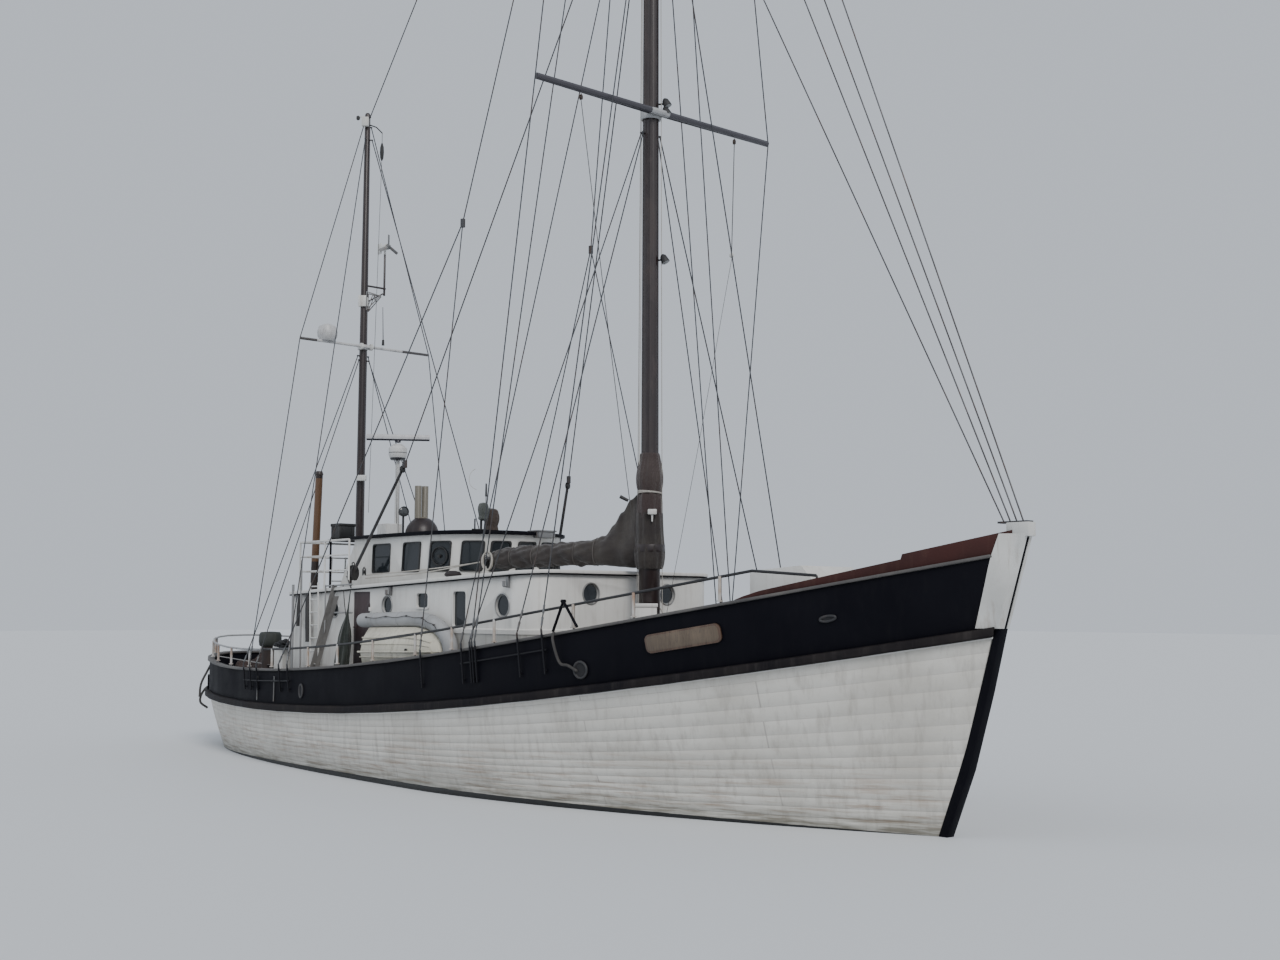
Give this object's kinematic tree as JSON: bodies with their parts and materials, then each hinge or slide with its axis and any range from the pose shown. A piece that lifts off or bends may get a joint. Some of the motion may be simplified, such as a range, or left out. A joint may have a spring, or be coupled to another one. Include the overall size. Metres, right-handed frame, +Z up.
{
  "type": "wooden fishing trawler",
  "caption": "Seagoing double-ended wooden fishing trawler with a white hull, black bulwark, deckhouse, rounded wheelhouse and ketch rig, afloat.",
  "frame": {"origin": "centreline at the waterline, 0.4 m forward of the middle of its length there", "axes": "+X forward, +Y to port, +Z up"},
  "size_m": [22.0592, 5.7942, 27.05],
  "materials": {
    "hull_paint": "worn white paint on planking, dirty, with a black band at the waterline",
    "white_paint": "worn white gloss paint, slightly soiled",
    "black_paint": "semi-gloss black paint on wood",
    "brown_paint": "satin dark red-brown paint",
    "grey_paint": "weathered grey galvanised and painted steel",
    "deck_wood": "bare weathered deck planks",
    "spar_wood": "dark oiled spar",
    "varnish": "worn varnish",
    "rig_steel": "dull galvanised wire and fittings",
    "bronze": "dull bronze",
    "canvas": "faded dark brown-grey canvas",
    "collar_grey": "matt grey coated fabric tube",
    "gelcoat": "dull cream moulding",
    "white_metal": "white paint on steel, a little rusty",
    "brown_metal": "dark brown paint on steel"
  },
  "bodies": {
    "vessel": {"hull": "hull_paint", "keel_and_stem": "black_paint", "deck": "deck_wood", "bulwark": "black_paint", "cap_rail": "black_paint", "bow_wash_strake": "brown_paint", "rubbing_strake": "black_paint", "deckhouse_walls": "white_paint", "deckhouse_roof": "white_paint", "wheelhouse_walls": "white_paint", "wheelhouse_roof": "black_paint", "wheelhouse_floor": "deck_wood", "helm_console": "brown_paint", "boat_deck_rail": "grey_paint", "funnel_casing": "brown_metal", "radar_mast": "white_metal", "roof_locker": "black_paint", "main_mast": "spar_wood", "main_spreader": "grey_paint", "upper_spreader": "grey_paint", "luff_cover": "canvas", "mizzen_mast": "spar_wood", "mizzen_spreader": "grey_paint", "main_shrouds_starboard": "rig_steel", "main_shrouds_port": "rig_steel", "forestays": "rig_steel", "running_backstay_starboard": "rig_steel", "running_backstay_port": "rig_steel", "triatic_stay": "rig_steel", "after_rigging_starboard": "rig_steel", "after_rigging_port": "rig_steel", "guard_rail_starboard": "grey_paint", "guard_rail_port": "grey_paint", "fore_companion": "white_paint", "hatch_coaming": "brown_paint", "windlass_frame": "black_paint", "fore_bitts": "brown_paint", "aft_bitts_starboard": "brown_paint", "aft_bitts_port": "brown_paint", "after_drum": "white_metal", "after_locker": "white_paint", "boat_post": "varnish", "boat_deck_ladder": "grey_paint", "tender_hull": "gelcoat", "tender_collar": "collar_grey", "tender_chocks": "brown_paint"},
    "rudder": {"rudder": "black_paint"},
    "propeller": {"propeller": "bronze"},
    "side_door_starboard": {"side_door_starboard": "brown_paint"},
    "side_door_port": {"side_door_port": "brown_paint"},
    "wheelhouse_door": {"wheelhouse_door": "brown_paint"},
    "ship_wheel": {"ship_wheel": "varnish"},
    "radar_scanner": {"radar_scanner": "white_metal"},
    "wind_generator_head": {"wind_generator_body": "white_metal"},
    "wind_generator_rotor": {"wind_generator_rotor": "grey_paint"},
    "boom": {"boom": "spar_wood", "stowed_sail": "canvas"},
    "windlass_barrel": {"windlass_barrel": "rig_steel"},
    "hatch_lid": {"hatch_lid": "brown_paint"},
    "companion_door": {"companion_door": "brown_paint"}
  },
  "joints": [
    {"name": "rudder_turn", "type": "hinge", "parent": "vessel", "child": "rudder", "pos_m": [-8.62, 0, -1.5], "axis": [0, 0, 1], "range_deg": [-35, 35]},
    {"name": "propeller_spin", "type": "hinge", "parent": "vessel", "child": "propeller", "pos_m": [-7.8, 0, -1.6], "axis": [1, 0, 0], "continuous": true},
    {"name": "side_door_starboard_hinge", "type": "hinge", "parent": "vessel", "child": "side_door_starboard", "pos_m": [-1.99, -2.063, 2.4], "axis": [0, 0, 1], "range_deg": [0, 70]},
    {"name": "side_door_port_hinge", "type": "hinge", "parent": "vessel", "child": "side_door_port", "pos_m": [-1.99, 2.063, 2.4], "axis": [0, 0, -1], "range_deg": [0, 70]},
    {"name": "wheelhouse_door_hinge", "type": "hinge", "parent": "vessel", "child": "wheelhouse_door", "pos_m": [-3.613, -0.4, 3.9], "axis": [0, 0, -1], "range_deg": [0, 95]},
    {"name": "ship_wheel_spin", "type": "hinge", "parent": "vessel", "child": "ship_wheel", "pos_m": [-1.15, 0, 3.26], "axis": [1, 0, 0], "continuous": true},
    {"name": "radar_scanner_spin", "type": "hinge", "parent": "vessel", "child": "radar_scanner", "pos_m": [-4.4, 0, 6.5], "axis": [0, 0, 1], "continuous": true},
    {"name": "wind_generator_yaw", "type": "hinge", "parent": "vessel", "child": "wind_generator_head", "pos_m": [-5.88, 0.5, 10.85], "axis": [0, 0, 1], "continuous": true},
    {"name": "wind_generator_spin", "type": "hinge", "parent": "wind_generator_head", "child": "wind_generator_rotor", "pos_m": [-5.73, 0.5, 10.98], "axis": [1, 0, 0], "continuous": true},
    {"name": "boom_swing", "type": "hinge", "parent": "vessel", "child": "boom", "pos_m": [3.5, 0, 4.06], "axis": [0, 0, 1], "range_deg": [-80, 40]},
    {"name": "windlass_barrel_spin", "type": "hinge", "parent": "vessel", "child": "windlass_barrel", "pos_m": [8.6, 0, 3.002], "axis": [0, 1, 0], "continuous": true},
    {"name": "hatch_lid_hinge", "type": "hinge", "parent": "vessel", "child": "hatch_lid", "pos_m": [5.665, 0, 2.3794], "axis": [0, 1, 0], "range_deg": [0, 85]},
    {"name": "companion_door_hinge", "type": "hinge", "parent": "vessel", "child": "companion_door", "pos_m": [6.387, 0.29, 3], "axis": [0, 0, -1], "range_deg": [0, 90]}
  ]
}
